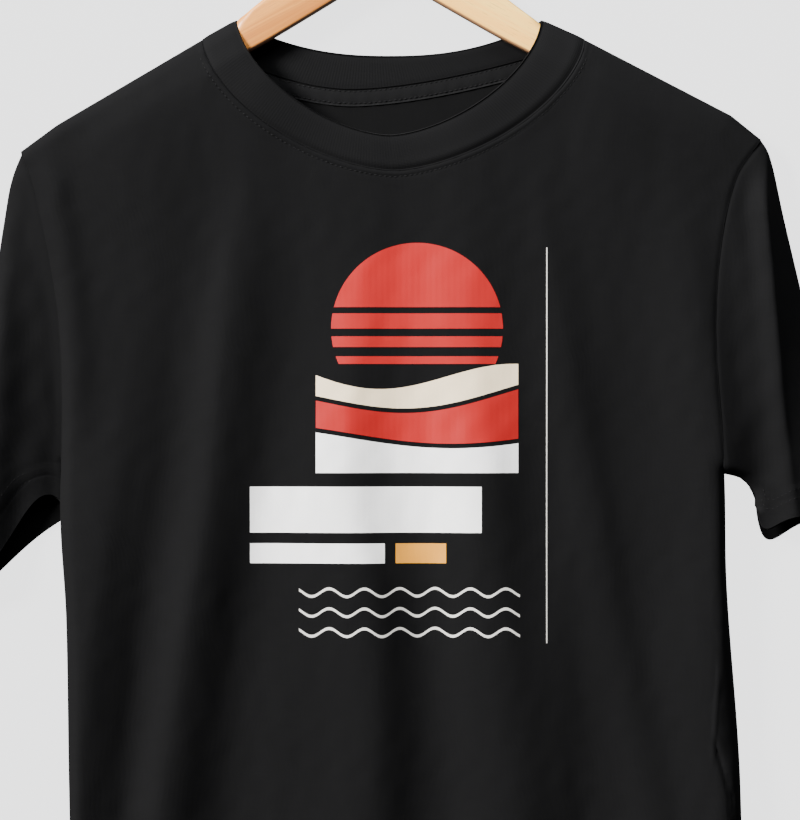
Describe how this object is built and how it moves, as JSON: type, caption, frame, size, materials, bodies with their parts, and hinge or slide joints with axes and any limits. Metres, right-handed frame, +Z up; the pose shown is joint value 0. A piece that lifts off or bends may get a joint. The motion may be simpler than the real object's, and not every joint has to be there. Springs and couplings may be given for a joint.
{
  "type": "t-shirt on a hanger",
  "caption": "Black crew-neck t-shirt with a printed chest on a wooden coat hanger with a wire hook, lying on its back with the front up.",
  "frame": {"origin": "centre of the bounding box, on the surface that the shirt lies on", "axes": "+X across the shoulders to the right as seen from above, +Y from the hem to the hook, +Z up from the surface"},
  "size_m": [0.6038, 0.867, 0.0241],
  "materials": {
    "jersey": "black cotton jersey",
    "rib": "black ribbed cotton",
    "tape": "black cotton tape",
    "wood": "satin clear varnish on pale wood",
    "steel": "polished wire"
  },
  "bodies": {
    "root": {"body_front": "jersey", "body_back": "jersey", "sleeve_left": "jersey", "sleeve_right": "jersey", "collar": "rib", "neck_tape": "tape", "hanger": "wood", "hook": "steel"}
  },
  "joints": []
}
